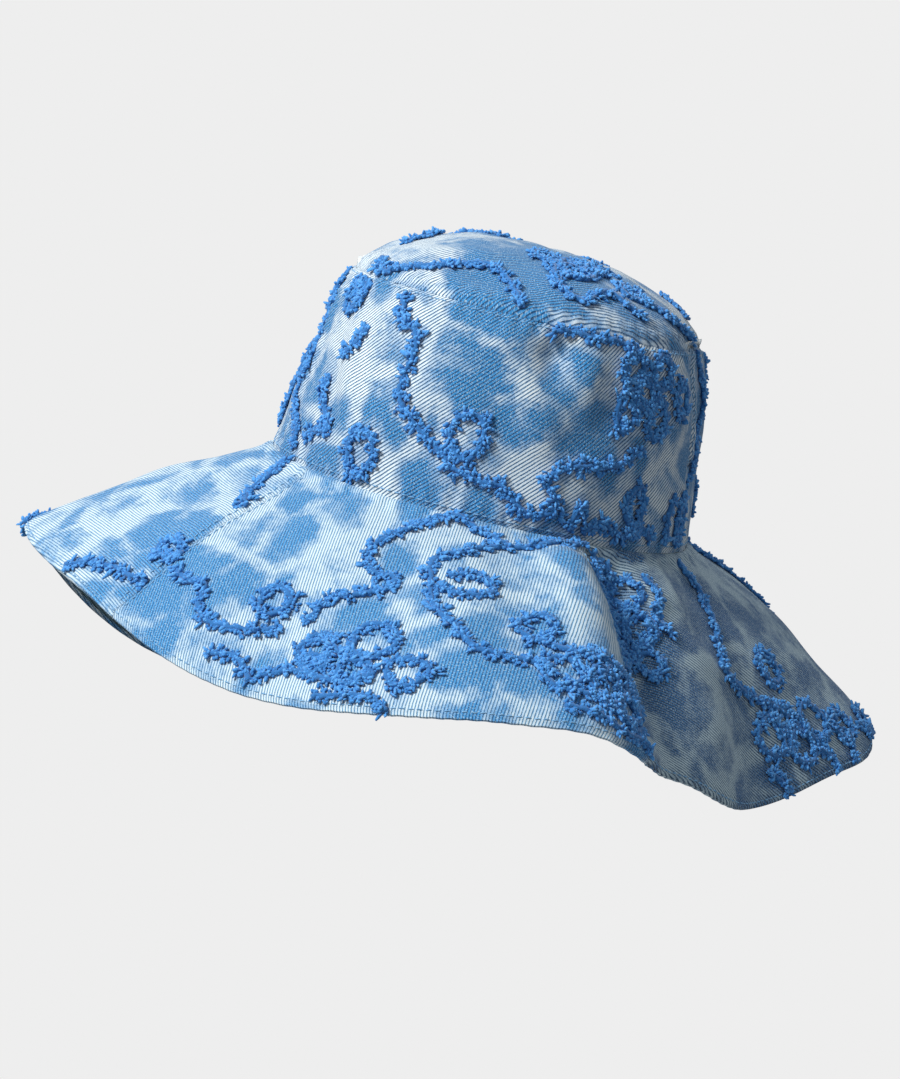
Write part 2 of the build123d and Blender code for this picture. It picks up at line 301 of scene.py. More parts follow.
def discPiece(name, lifts, finish, cells=90):
    # a round sheet on the tip: a square grid bent to a disc, so that no point has a pole
    u, v = np.meshgrid(np.linspace(-1, 1, cells), np.linspace(-1, 1, cells), indexing="ij")
    x, y = u * np.sqrt(1 - v ** 2 / 2), v * np.sqrt(1 - u ** 2 / 2)
    azimuth, share = np.degrees(np.arctan2(x, -y)), np.minimum(np.hypot(x, y), 1)
    outer, inner = (place("tip", azimuth, share, lift)[0] for lift in (lifts[1], lifts[0]))
    count = cells * cells
    index = np.arange(count).reshape(cells, cells)
    ring = np.concatenate([index[:-1, 0], index[-1, :-1], index[:0:-1, -1], index[0, :0:-1]])
    after = np.roll(ring, -1)
    faces = [gridFaces(cells, cells), gridFaces(cells, cells, count, flipped=True),
             np.stack([ring, ring + count, after + count, after], -1)]
    verts = np.concatenate([outer.reshape(-1, 3), inner.reshape(-1, 3)])
    flat = turned(np.stack([x * .078, y * .078 * oval], -1), grain["tip"])
    wash = np.concatenate([washAt("tip", azimuth, share).ravel()] * 2)
    uv = np.concatenate([flat, flat]).reshape(-1, 2)
    return newPiece(name, verts, np.concatenate(faces).tolist(), finish, uv, wash=wash)


def carry(paths, radii, sides, side=None):
    # a round profile carried along each of many short paths, closed at both ends
    number, samples, _ = paths.shape
    ahead = np.gradient(paths, axis=1)
    ahead /= np.linalg.norm(ahead, axis=-1, keepdims=True)
    if side is None:
        side = np.cross(ahead[:, :1], [.31, .55, .77])
    first = np.cross(ahead, np.broadcast_to(side, ahead.shape))
    first /= np.linalg.norm(first, axis=-1, keepdims=True)
    second = np.cross(ahead, first)
    turn = np.arange(sides) * 2 * np.pi / sides
    ring = first[..., None, :] * np.cos(turn)[:, None] + second[..., None, :] * np.sin(turn)[:, None]
    verts = paths[..., None, :] + ring * radii[..., None, None]
    base = (np.arange(number) * samples * sides)[:, None, None]
    s, t = np.meshgrid(np.arange(samples - 1), np.arange(sides), indexing="ij")
    here, beside = s * sides + t, s * sides + (t + 1) % sides
    quads = (np.stack([here, beside, beside + sides, here + sides], -1)[None]
             + base[..., None]).reshape(-1, 4)
    caps = np.arange(sides)[None] + base[:, 0]
    return verts, quads.tolist() + caps[:, ::-1].tolist() + (caps + (samples - 1) * sides).tolist()


def linear(colour):  # an sRGB hex value as linear red, green, blue and alpha
    parts = np.array([int(colour[i:i + 2], 16) / 255 for i in (1, 3, 5)])
    return (*np.where(parts <= .04045, parts / 12.92, ((parts + .055) / 1.055) ** 2.4), 1)


def newMaterial(name, colour, roughness, sheen=0.0):
    # matt by default, as cloth and paper are: little specular, and a broad sheen where there is one
    material = bpy.data.materials.new(name)
    material.use_nodes = True
    material.diffuse_color = linear(colour)
    shader = material.node_tree.nodes["Principled BSDF"]
    for socket, value in (("Base Color", linear(colour)), ("Roughness", roughness), ("Sheen Weight", sheen),
                          ("Sheen Roughness", .6), ("IOR", 1.5), ("Specular IOR Level", .25)):
        shader.inputs[socket].default_value = value
    return material, material.node_tree, shader


def addNode(tree, kind, settings=None, inputs=None):
    # inputs are values, or sockets of other nodes to link
    node = tree.nodes.new(kind)
    for key, value in (settings or {}).items():
        setattr(node, key, value)
    for key, value in (inputs or {}).items():
        if isinstance(value, bpy.types.NodeSocket):
            tree.links.new(value, node.inputs[key])
        else:
            node.inputs[key].default_value = value
    return node


def mixColours(tree, share, first, second):  # first and second in the shares (1 - share) and share
    node = addNode(tree, "ShaderNodeMix", dict(data_type="RGBA"))
    for socket, value in ((node.inputs[0], share), (node.inputs[6], first), (node.inputs[7], second)):
        if isinstance(value, bpy.types.NodeSocket):
            tree.links.new(value, socket)
        else:
            socket.default_value = value
    return node.outputs[2]


def twill(name, colours, shift, fade, pitch, depth=1.0):
    # Denim: indigo warp over white weft, woven in a 3/1 twill. It gives the eye slanting ribs with dark
    # grooves between them. The ribs of heavy denim are 1.1 to 1.4 mm apart.
    # shift moves the edge of the bleach clouds, and fade says how far they fade the cloth.
    material, tree, shader = newMaterial(name, colours["mid"], .88, .1)
    cloth = addNode(tree, "ShaderNodeUVMap", dict(uv_map="cloth"))
    spot = addNode(tree, "ShaderNodeTexCoord").outputs["Object"]
    inMm = addNode(tree, "ShaderNodeMapping",
                   inputs=dict(Vector=cloth.outputs[0], Scale=(1000, 1000, 1000))).outputs[0]
    ribs = addNode(tree, "ShaderNodeTexWave",
                   dict(wave_type="BANDS", bands_direction="X", wave_profile="SIN"),
                   {"Vector": inMm, "Scale": 2 * np.pi / (20 * pitch), "Distortion": 1.3, "Detail": 2.0,
                    "Detail Scale": .5, "Detail Roughness": .6}).outputs["Fac"]
    along = addNode(tree, "ShaderNodeMapping", inputs=dict(Vector=inMm, Scale=(1.1, .3, 1))).outputs[0]
    slubs = addNode(tree, "ShaderNodeTexNoise",
                    inputs={"Vector": along, "Scale": 1.0, "Detail": 3.0, "Roughness": .65}).outputs["Fac"]
    crossed = addNode(tree, "ShaderNodeMapping",
                      inputs=dict(Vector=inMm, Scale=(1.0, 2.4, 1), Rotation=(0, 0, .62))).outputs[0]
    weft = addNode(tree, "ShaderNodeTexNoise",
                   inputs={"Vector": crossed, "Scale": 1.0, "Detail": 2.0}).outputs["Fac"]
    clouds = addNode(tree, "ShaderNodeTexNoise",
                     inputs={"Vector": spot, "Scale": 30.0, "Detail": 3.0, "Roughness": .55,
                                                         "Distortion": .5}).outputs["Fac"]
    patches = addNode(tree, "ShaderNodeTexNoise",
                      inputs={"Vector": spot, "Scale": 85.0, "Detail": 5.0, "Roughness": .65}).outputs
    bent = addNode(tree, "ShaderNodeVectorMath", dict(operation="MULTIPLY_ADD"),
                   {0: patches["Color"], 1: (.014, .014, .014), 2: spot}).outputs[0]
    edges = addNode(tree, "ShaderNodeTexVoronoi", dict(feature="DISTANCE_TO_EDGE"),
                    {"Vector": bent, "Scale": 38.0}).outputs["Distance"]
    veins = addNode(tree, "ShaderNodeMapRange", dict(interpolation_type="SMOOTHSTEP"),
                    {"Value": edges, "From Min": 0.0, "From Max": .22, "To Min": .17,
                     "To Max": 0.0}).outputs[0]
    faded = addNode(tree, "ShaderNodeAttribute", dict(attribute_name="wash")).outputs["Fac"]
    blend = addNode(tree, "ShaderNodeMath", dict(operation="MULTIPLY_ADD"),
                    {0: patches["Fac"], 1: .42, 2: clouds}).outputs[0]
    blend = addNode(tree, "ShaderNodeMath", dict(operation="MULTIPLY_ADD"),
                    {0: slubs, 1: .26, 2: blend}).outputs[0]
    blend = addNode(tree, "ShaderNodeMath", dict(operation="ADD"), {0: blend, 1: veins}).outputs[0]
    blend = addNode(tree, "ShaderNodeMath", dict(operation="ADD"), {0: blend, 1: faded}).outputs[0]
    bleach = addNode(tree, "ShaderNodeMapRange", dict(interpolation_type="SMOOTHSTEP"),
                     {"Value": blend, "From Min": .74 + shift, "From Max": 1.04 + shift, "To Min": 0.0,
                      "To Max": fade}).outputs[0]
    ground = mixColours(tree, bleach, linear(colours["mid"]), linear(colours["pale"]))
    grooves = mixColours(tree, bleach, linear(colours["deep"]), linear(colours["paleDeep"]))
    worn = addNode(tree, "ShaderNodeMath", dict(operation="MULTIPLY_ADD"),
                   {0: slubs, 1: .55, 2: ribs}).outputs[0]
    shown = addNode(tree, "ShaderNodeMapRange", dict(interpolation_type="SMOOTHSTEP"),
                    {"Value": worn, "From Min": .32, "From Max": .78, "To Min": 0.0,
                     "To Max": 1.0}).outputs[0]
    colour = mixColours(tree, shown, grooves, ground)
    flecks = addNode(tree, "ShaderNodeMapRange", inputs={"Value": weft, "From Min": .52, "From Max": .66,
                                                         "To Min": 0.0, "To Max": .6}).outputs[0]
    colour = mixColours(tree, flecks, colour, linear(colours["weft"]))
    tree.links.new(colour, shader.inputs["Base Color"])
    height = addNode(tree, "ShaderNodeMath", dict(operation="MULTIPLY_ADD"),
                     {0: weft, 1: .4, 2: shown}).outputs[0]
    bump = addNode(tree, "ShaderNodeBump",
                   inputs={"Strength": depth, "Distance": .0003, "Height": height}).outputs[0]
    tree.links.new(bump, shader.inputs["Normal"])
    return material


def plainWeave(name, colours, pitch, depth):
    # Poplin, canvas or tape in a plain weave: a fine square grid of threads over an even ground.
    material, tree, shader = newMaterial(name, colours[0], .85, .1)
    cloth = addNode(tree, "ShaderNodeUVMap", dict(uv_map="cloth"))
    inMm = addNode(tree, "ShaderNodeMapping",
                   inputs=dict(Vector=cloth.outputs[0], Scale=(1000, 1000, 1000))).outputs[0]
    ways = [addNode(tree, "ShaderNodeTexWave", dict(bands_direction=way),
                    {"Vector": inMm, "Scale": 2 * np.pi / (20 * pitch), "Distortion": .8}).outputs["Fac"]
            for way in "XY"]
    grid = addNode(tree, "ShaderNodeMath", dict(operation="MULTIPLY"), {0: ways[0], 1: ways[1]}).outputs[0]
    mottle = addNode(tree, "ShaderNodeTexNoise",
                     inputs={"Vector": inMm, "Scale": .12, "Detail": 3.0}).outputs["Fac"]
    colour = mixColours(tree, grid, linear(colours[1]), linear(colours[0]))
    colour = mixColours(tree, mottle, colour, linear(colours[0]))
    tree.links.new(colour, shader.inputs["Base Color"])
    bump = addNode(tree, "ShaderNodeBump",
                   inputs={"Strength": depth, "Distance": .0002, "Height": grid}).outputs[0]
    tree.links.new(bump, shader.inputs["Normal"])
    return material


def yarn(name, root, body, light, fuzz):
    # Cotton yarn, cut or twisted: matt and fuzzy, with fine fibre noise. An attribute picks its colour from
    # root to light. On tufts this paints shade at the root and light at the end; on stitches it only varies
    # the tone at random.
    material, tree, shader = newMaterial(name, body, .9, fuzz)
    tuft = addNode(tree, "ShaderNodeAttribute", dict(attribute_name="tuft")).outputs["Fac"]
    spot = addNode(tree, "ShaderNodeTexCoord").outputs["Object"]
    fibres = addNode(tree, "ShaderNodeTexNoise",
                     inputs={"Vector": spot, "Scale": 1500.0, "Detail": 2.0}).outputs["Fac"]
    ramp = addNode(tree, "ShaderNodeValToRGB", inputs=dict(Fac=tuft))
    ramp.color_ramp.elements[0].color = linear(root)
    ramp.color_ramp.elements[1].color = linear(light)
    ramp.color_ramp.elements.new(.5).color = linear(body)
    colour = mixColours(tree, fibres, ramp.outputs[0], linear(body))
    tree.links.new(colour, shader.inputs["Base Color"])
    bump = addNode(tree, "ShaderNodeBump",
                   inputs={"Strength": .5, "Distance": .0002, "Height": fibres}).outputs[0]
    tree.links.new(bump, shader.inputs["Normal"])
    return material


# Each cloth's colours in its grooves and on its ribs, unbleached and bleached, and its weft's
washedColours = dict(deep="#09406f", mid="#2175b0", pale="#c6d4dd", paleDeep="#34618a", weft="#a6c4d8")
softColours = dict(deep="#195589", mid="#357fb8", pale="#b6c9d6", paleDeep="#5486ad", weft="#a2c2d6")
# The brim's right panel has its own darker copy of the washed denim. This is painted shade for the side that
# turns away from the key lamp.
paintedShadeColours = dict(deep="#0a2f52", mid="#235f92", pale="#9db6c4", paleDeep="#2c577b", weft="#a9bec9")
tealColours = dict(deep="#22343f", mid="#41606f", pale="#5a7784", paleDeep="#3a5360", weft="#66808b")
bandColours = dict(deep="#2c4350", mid="#4a6b7c", pale="#5f8090", paleDeep="#3d5866", weft="#587585")
washedDenim = twill("washedTwillDenim", washedColours, .05, 1.0, 1.35)
brimDenim = twill("washedTwillDenimSofter", softColours, .045, 1.0, 1.2, .9)
paintedShadeDenim = twill("washedTwillDenimPaintedShade", paintedShadeColours, .04, 1.0, 1.3)
tealDenim = twill("tealTwillDenim", tealColours, .02, .5, 1.35, .6)
bandTwill = twill("cottonTwillBand", bandColours, .05, .3, .9, .6)
poplin = plainWeave("cottonPoplin", ("#cfd8de", "#a9b8c2"), .6, .5)
canvas = plainWeave("stiffCottonCanvas", ("#dedcd3", "#bdbab0"), .8, .5)
labelTape = plainWeave("wovenTape", ("#ecebe6", "#cfcdc6"), .5, .6)
# the tufts' root colour is painted shade and their light colour is painted light
tuftedYarn = yarn("cutCottonYarn", "#0b3566", "#2a74ba", "#62abe9", .15)
sewingThread = yarn("spunPolyesterThread", "#3f75a6", "#6797c0", "#8ab2d0", .1)
print("materials made")


# How far the ribs of each cut are turned, in degrees
grain = dict(brim_front=4, brim_left=-68, brim_right=40, brim_back=-20, wall_front=-47, wall_back=-47,
             tip=-60)


def turned(points, angle):  # the weave's ribs run along V once the cut is turned by the grain
    c, s = np.cos(np.radians(angle)), np.sin(np.radians(angle))
    return np.stack([points[..., 0] * c + points[..., 1] * s, points[..., 1] * c - points[..., 0] * s], -1)


def brimFlat(side):
    # a brim panel is cut as a sector of a ring, because its mean slope makes a cone of it
    start, end = brimSeams[side]
    lean = np.cos(np.mean(brimSlope(np.linspace(start, end, 40))))
    inner = hat["halfWidth"] * (1 + oval) / 2 / lean
    def flat(azimuth, along):
        turn = np.radians(azimuth - (start + end) / 2) * lean
        return turned(np.stack([(inner + along) * np.sin(turn), -(inner + along) * np.cos(turn)], -1),
                      grain["brim_" + side])
    angle = np.radians(end - start) * lean
    outerRadius = inner + hat["brimWidth"]
    size = (2 * outerRadius * np.sin(angle / 2), outerRadius - inner * np.cos(angle / 2))
    return flat, size, angle / 2 * (outerRadius ** 2 - inner ** 2)


meanRadius = hat["halfWidth"] * (1 + oval) / 2  # of the oval head opening


def wallFlat(angle):  # a wall is cut as a straight strip, as long as the mean circle is round
    return lambda azimuth, along: turned(np.stack([np.radians(azimuth) * meanRadius, along], -1), angle)


seamHalf = np.degrees(.00002 / hat["halfWidth"])  # cut edges meet this close on each side of a seam
interliningTop = -hat["denim"] - hat["gap"]
brimLayers = dict(brim_top=(-hat["denim"], 0, brimDenim, "washed_denim"),
                  brim_interlining=(interliningTop - hat["interlining"], interliningTop, canvas,
                                    "interlining"),
                  brim_under=(-hat["brimStack"], -hat["brimStack"] + hat["denim"], tealDenim, "under_denim"))
reach = np.linspace(0, hat["brimWidth"], 100)
brimReaches = dict(brim_top=reach, brim_interlining=np.linspace(0, hat["brimWidth"] - .003, 30),
                   brim_under=reach * .982)  # the under cloth ends inside the turned hem
for side, (start, end) in brimSeams.items():
    flat, size, area = brimFlat(side)
    fine = np.linspace(start + seamHalf, end - seamHalf, int((end - start) * 1.7))
    for layer, (low, high, finish, slot) in brimLayers.items():
        # the top of the brim's right panel takes the darker denim copy, which is painted shade
        finish = paintedShadeDenim if (layer, side) == ("brim_top", "right") else finish
        azimuths = fine[::3] if layer == "brim_interlining" else fine
        piece = clothPiece(f"{layer}_{side}", "brim", azimuths, brimReaches[layer], (low, high), finish,
                           flat)
        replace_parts(piece, f"{layer}_{side}")

wallTop = hat["crownHeight"] - hat["gap"]
wallLayers = dict(side_crown=(0, washedDenim, "washed_denim", hat["denim"]),
                  side_lining=(hat["denim"] + hat["gap"], poplin, "lining_poplin", hat["lining"]))
for side, (start, end) in wallSeams.items():
    azimuths = np.linspace(start + seamHalf, end - seamHalf, int((end - start) * 1.6))
    for layer, (depth, finish, slot, thickness) in wallLayers.items():
        heights = np.linspace(-.0006 if depth == 0 else 0, wallTop, 80)  # the outer cloth meets the brim
        piece = clothPiece(f"{layer}_{side}", "wall", azimuths, heights, (-depth - thickness, -depth),
                           finish,
                           wallFlat(grain["wall_" + side]))
        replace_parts(piece, f"{layer}_{side}")

tipLayers = dict(crown_tip=(0, hat["denim"], washedDenim, "washed_denim"),
                 crown_tip_lining=(.0012, hat["lining"], poplin, "lining_poplin"))
for name, (depth, thickness, finish, slot) in tipLayers.items():
    piece = discPiece(name, (-depth - thickness, -depth), finish)
    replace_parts(piece, name)

bandDepth = hat["denim"] + 2 * hat["gap"] + hat["lining"]
band = clothPiece("sweatband", "wall", np.linspace(0, 360, 240, endpoint=False),
                  np.linspace(0, hat["bandHeight"], 24),
                  (-bandDepth - hat["band"], -bandDepth), bandTwill, wallFlat(45), closed=True)
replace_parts(band, "sweatband")

tabSize = dict(width=.022, height=.014, low=.006, thickness=.0005)
tabDepth = bandDepth + hat["band"] + hat["gap"]
tabHalf = np.degrees(tabSize["width"] / 2 / hat["halfWidth"])
tab = clothPiece("size_tab", "wall", np.linspace(180 - tabHalf, 180 + tabHalf, 24),
                 np.linspace(tabSize["low"], tabSize["low"] + tabSize["height"], 16),
                 (-tabDepth - tabSize["thickness"], -tabDepth), labelTape, wallFlat(0))
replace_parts(tab, "size_tab")
print("cloths made")


stitch = dict(length=.0024, pitch=.0034, radius=.00026, inset=.0022, sink=.0001, rise=.0003, samples=5,
              sides=6)


def stitchRow(shape, azimuths, alongs):
    # even stitches along a line of places: each a thread that rises from one hole and dips into the next
    line = place(shape, azimuths, alongs)[0]
    run = np.concatenate([[0], np.cumsum(np.linalg.norm(np.diff(line, axis=0), axis=1))])
    starts = np.arange(stitch["pitch"] / 2, run[-1] - stitch["pitch"], stitch["pitch"])
    at = starts[:, None] + np.linspace(0, stitch["length"], stitch["samples"])
    hump = np.sin(np.linspace(0, np.pi, stitch["samples"])) ** .6 * stitch["rise"] - stitch["sink"]
    return place(shape, np.interp(at, run, azimuths), np.interp(at, run, alongs), hump[None] + 0 * at)


def stitchPiece(name, rows):  # all the stitches of some rows as one piece, each a thread with thin ends
    points, normals = (np.concatenate(part) for part in zip(*(stitchRow(*row) for row in rows)))
    radii = np.broadcast_to(stitch["radius"] * np.array([.55, 1, 1.1, 1, .55]), points.shape[:2])
    verts, faces = carry(points, radii, stitch["sides"], normals)
    shade = np.repeat(np.random.default_rng(11).uniform(.3, .8, len(points)),
                      stitch["samples"] * stitch["sides"])
    piece = newPiece(name, verts, faces, sewingThread, tuft=shade)
    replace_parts(piece, name)


turnRound = np.linspace(-180, 180, 1500)
hemAlong = hat["brimWidth"] - stitch["inset"]
stitchPiece("hem_topstitch", [("brim", turnRound, 0 * turnRound + hemAlong)])
stitchPiece("base_topstitch", [("wall", turnRound, 0 * turnRound + stitch["inset"])])
stitchPiece("tip_topstitch", [("wall", turnRound, 0 * turnRound + wallTop - stitch["inset"] * 1.2)])
reachRun = np.linspace(.004, hemAlong - .002, 300)
aside = np.degrees(stitch["inset"] / (hat["halfWidth"] + reachRun * .8))
stitchPiece("brim_seam_topstitch", [("brim", seam + side * aside, reachRun)
                                    for seam, _ in brimSeams.values() for side in (-1, 1)])
heightRun = np.linspace(.004, wallTop - .004, 200)
aside = np.degrees(stitch["inset"] / hat["halfWidth"]) + 0 * heightRun
stitchPiece("side_seam_topstitch", [("wall", seam + side * aside, heightRun)
                                    for seam, _ in wallSeams.values() for side in (-1, 1)])
print("topstitching made")


# Tufted lines by shape, as places (azimuth, millimetres along); on the tip, hundredths of the way out.
lines = dict(
    tip=[[(-58, 94), (-50, 99), (-42, 93), (-33, 86), (-27, 78), (-20, 74), (-12, 78), (-6, 88),
          (-2, 98)], [(22, 36), (40, 34), (60, 42), (66, 52)],
         [(8, 58), (8, 70), (11, 82), (18, 88), (24, 80), (30, 76), (36, 84), (42, 90)],
         [(44, 62), (50, 76), (58, 86), (66, 93), (76, 98)],
         [(200, 40), (215, 62), (238, 70), (262, 62), (280, 78)],
         [(120, 90), (135, 78), (150, 84), (160, 96)], [(176, 97), (190, 88), (206, 92), (222, 98)],
         [(96, 88), (104, 76), (116, 80)]],
    wall=[[(-79, 79), (-75, 68), (-72, 56), (-71, 46), (-69, 38), (-71, 29), (-67, 20), (-62, 13),
           (-61, 5)],
          [(-37, 77), (-33, 68), (-28, 64), (-27, 55), (-28, 47), (-27, 39), (-22, 31), (-17, 26),
           (-12, 21), (-8, 17), (0, 15), (5, 15), (9, 10), (13, 7), (18, 9), (19, 14), (16, 19),
           (17, 25), (24, 30), (30, 31), (36, 34), (42, 41)], [(-45, 60), (-46, 56), (-48, 51), (-50, 46)],
          [(-54, 37), (-56, 31), (-51, 24), (-47, 17), (-52, 15), (-57, 11)],
          [(9, 79), (15, 80), (22, 79), (29, 80), (36, 78)],
          [(80, 80), (84, 70), (84, 58), (80, 48), (75, 36), (71, 28)], [(24, 4), (25, 12), (28, 15)],
          [(28, 4), (33, 9), (37, 7), (42, 5), (47, 9), (52, 5)], [(60, 4), (58, 14), (61, 24)],
          [(96, 12), (102, 24), (110, 33), (121, 30), (128, 20), (138, 14), (150, 17), (158, 28),
           (155, 41), (162, 52), (175, 56)], [(100, 76), (108, 68), (118, 70), (126, 62), (124, 52)],
          [(186, 8), (194, 18), (206, 22), (216, 14), (228, 12), (238, 22)],
          [(196, 76), (200, 64), (210, 56), (222, 58), (232, 48), (246, 44), (256, 54), (262, 68)],
          [(268, 8), (274, 20), (280, 34), (276, 46)], [(140, 78), (152, 74), (164, 79)]],
    brim=[[(-61, 2), (-58, 10), (-57, 19), (-55, 27), (-51, 34)],
          [(-48, 76), (-44, 78), (-41, 75), (-39, 84), (-36, 88), (-32, 85), (-27, 80), (-26, 75)],
          [(-22, 72), (-21, 64), (-20, 58), (-17, 56), (-14, 52), (-11, 47), (-12, 42), (-15, 42),
           (-18, 36), (-19, 30), (-17, 22), (-14, 15), (-10, 6), (-7, 3), (-3, 2), (1, 6), (5, 9),
           (10, 13), (15, 12), (19, 9), (24, 5), (29, 2)],
          [(9, 12), (3, 17), (-1, 23), (-5, 27), (-6, 34), (-5, 42), (-4, 51), (-2, 60), (1, 67),
           (4, 76), (8, 79), (12, 80), (15, 82)],
          [(-2, 39), (2, 36), (5, 38), (6, 44), (4, 48), (0, 48), (-4, 45)],
          [(-24, 100), (-20, 95), (-17, 95), (-14, 97), (-11, 96), (-8, 92)],
          [(-15, 105), (-11, 103), (-8, 103), (-6, 106), (-5, 109)],
          [(-33, 100), (-30, 96), (-27, 98), (-25, 104)], [(-20, 78), (-17, 76), (-15, 82), (-12, 88)],
          [(16, 100), (20, 101), (24, 104), (28, 103), (30, 106)],
          [(14, 70), (18, 74), (22, 74), (27, 76), (30, 72)], [(15, 92), (19, 93), (24, 97), (28, 94)],
          [(32, 4), (32, 12), (33, 22), (34, 32), (36, 42), (35, 52), (32, 62)],
          [(37, 6), (37, 16), (40, 26), (43, 36), (40, 46), (37, 56)],
          [(45, 12), (47, 22), (44, 32), (47, 40)], [(34, 14), (36, 20), (34, 27), (38, 34), (36, 40)],
          [(66, 4), (68, 14), (68, 23), (66, 32), (63, 42), (61, 52), (64, 60), (68, 66), (73, 73),
           (75, 80)], [(66, 96), (68, 102), (69, 108)], [(78, 96), (80, 103), (80, 109)],
          [(90, 96), (92, 102), (95, 106)], [(84, 94), (85, 101), (84, 108)],
          [(98, 3), (101, 13), (104, 24), (106, 34), (104, 46), (108, 56)],
          [(-84, 108), (-87, 103), (-90, 98), (-94, 94), (-99, 96)],
          [(-63, 106), (-60, 98), (-56, 93), (-52, 91), (-50, 88)], [(-92, 30), (-96, 38), (-92, 46)],
          [(-97, 62), (-93, 70), (-96, 78)],
          [(-96, 10), (-100, 22), (-97, 34), (-104, 44), (-108, 56), (-104, 68)],
          [(-118, 90), (-112, 84), (-106, 88), (-100, 80)],
          [(118, 92), (124, 84), (132, 86), (138, 76), (134, 66), (140, 56), (150, 52), (158, 60)],
          [(146, 10), (152, 22), (162, 28), (170, 20), (180, 14), (190, 20), (196, 32), (190, 44),
           (196, 56), (206, 62)], [(168, 96), (176, 90), (184, 94), (192, 88), (200, 94)],
          [(214, 12), (220, 24), (216, 36), (222, 48), (230, 56), (226, 68)],
          [(124, 20), (128, 32), (122, 44), (116, 52)], [(234, 100), (240, 94), (246, 98)],
          [(212, 96), (218, 88), (222, 94)]])
# Rings and petals: (azimuth, along, radius in millimetres, how much taller than wide)
rings = dict(
    tip=[(20, 60, 7, 1), (36, 46, 7, 1), (6, 46, 6, 1), (48, 70, 6, 1), (230, 44, 8, 1), (180, 62, 7, 1),
         (150, 55, 7, 1)],
    wall=[(-7, 31, 7, 1.25), (-58, 71, 6.5, 1), (-55, 74, 3.5, 1), (-34, 13, 6, 1.55), (44, 17, 5, 1.7),
          (67, 14, 4.5, 2), (35, 70, 6, 1.2), (46, 71, 6, 1.1), (34, 54, 4.5, 1.9), (46, 53, 5.5, 1.5),
          (56, 62, 5, 1.4), (40, 62, 5, 1.2), (112, 48, 7, 1.2), (142, 32, 7, 1.2), (176, 36, 7, 1.3),
          (188, 30, 6, 1.1), (182, 46, 6, 1.1), (240, 66, 7, 1), (250, 22, 6, 1.5), (216, 38, 6, 1.2)],
    brim=[(-29, 67, 6.5, 1), (-52, 71, 6.5, .8), (-10, 76, 8.5, 1), (-4, 90, 8, .85), (-18, 85, 7, .9),
          (-11, 92, 6.5, .9), (-17, 90, 5, .9), (13, 62, 6.5, 1), (16, 84, 7, 1), (22, 86, 7.5, 1),
          (26, 93, 7, 1), (20, 78, 6, 1), (28, 84, 6, 1), (35, 12, 5.5, 1), (40, 20, 6, 1.2),
          (35, 30, 5.5, 1.2), (41, 38, 5.5, 1.2), (36, 48, 5.5, 1.1), (41, 54, 5, 1.1), (76, 58, 6, 1.2),
          (69, 84, 8, 1), (80, 86, 8, 1), (75, 93, 7, 1), (74, 80, 6, 1), (86, 92, 6, 1), (93, 101, 5, 1),
          (-88, 104, 5, 1), (-106, 60, 7, 1), (-114, 74, 8, 1), (-122, 78, 7, 1), (-116, 86, 7, 1),
          (128, 66, 8, 1), (136, 92, 8, 1), (144, 86, 7, 1), (142, 97, 7, 1), (180, 74, 9, 1),
          (189, 80, 8, 1), (182, 86, 8, 1), (173, 82, 7, 1), (206, 44, 7, 1), (232, 82, 8, 1),
          (224, 88, 7, 1), (110, 40, 6, 1)])
# density is tufts a millimetre, spread half the width of a line, and clump how many tufts lean together.
# ends are the radii along a tuft, which ends bluntly, and shading is painted shade at its root and painted
# light at its end.
yarnLook = dict(density=5.6, spread=.0021, length=(.0012, .0025), radius=.00068, core=.0012, clump=9,
                samples=4, sides=4, coreEvery=5, coreSides=6,
                ends=np.array([.75, 1.05, 1.1, .62]), shading=np.array([-.34, -.08, .12, .26]))


def ringLine(shape, azimuth, along, radius, tall):
    # an unevenly closed loop of the given radius, laid round a place
    turn = np.linspace(-.4, 2 * np.pi - .1, 26)
    wobble = 1 + .07 * np.sin(3 * turn + azimuth)
    across, up = radius * wobble * np.sin(turn), radius * tall * wobble * np.cos(turn)
    if shape == "tip":
        around = np.radians(azimuth)
        x, y = .8 * along * np.sin(around) + across, .8 * along * np.cos(around) + up
        return np.degrees(np.arctan2(x, y)), np.minimum(np.hypot(x, y) / .8, 97)
    distance = 94 + (along * .75 if shape == "brim" else 0)
    return azimuth + np.degrees(across / distance), along + up


def smoothLine(points):  # a Catmull-Rom curve through the points
    p = np.array(points, float)
    p = np.concatenate([[2 * p[0] - p[1]], p, [2 * p[-1] - p[-2]]])
    t = np.linspace(0, 1, 12, endpoint=False)[:, None]
    parts = [.5 * (2 * b + (c - a) * t + (2 * a - 5 * b + 4 * c - d) * t ** 2
                   + (3 * b - a - 3 * c + d) * t ** 3)
             for a, b, c, d in zip(p, p[1:], p[2:], p[3:])]
    return np.concatenate(parts + [p[-2:-1]])


def evenLine(shape, azimuths, alongs, step):
    # the same line at even steps of its real length, and its direction
    limit = dict(brim=hat["brimWidth"] - .0005, wall=wallTop - .0005, tip=.985)[shape]
    alongs = np.clip(alongs / (100 if shape == "tip" else 1000), .0015, limit)
    points = place(shape, azimuths, alongs)[0]
    run = np.concatenate([[0], np.cumsum(np.linalg.norm(np.diff(points, axis=0), axis=1))])
    at = np.linspace(0, run[-1], max(4, int(run[-1] / step)))
    if shape == "tip":  # straight across the dome's middle
        x = np.interp(at, run, alongs * np.sin(np.radians(azimuths)))
        y = np.interp(at, run, alongs * np.cos(np.radians(azimuths)))
        azimuth, along = np.degrees(np.arctan2(x, y)), np.hypot(x, y)
    else:
        azimuth, along = np.interp(at, run, azimuths), np.interp(at, run, alongs)
    points, normals = place(shape, azimuth, along)
    ahead = np.gradient(points, axis=0)
    return points, normals, ahead / np.linalg.norm(ahead, axis=-1, keepdims=True), azimuth


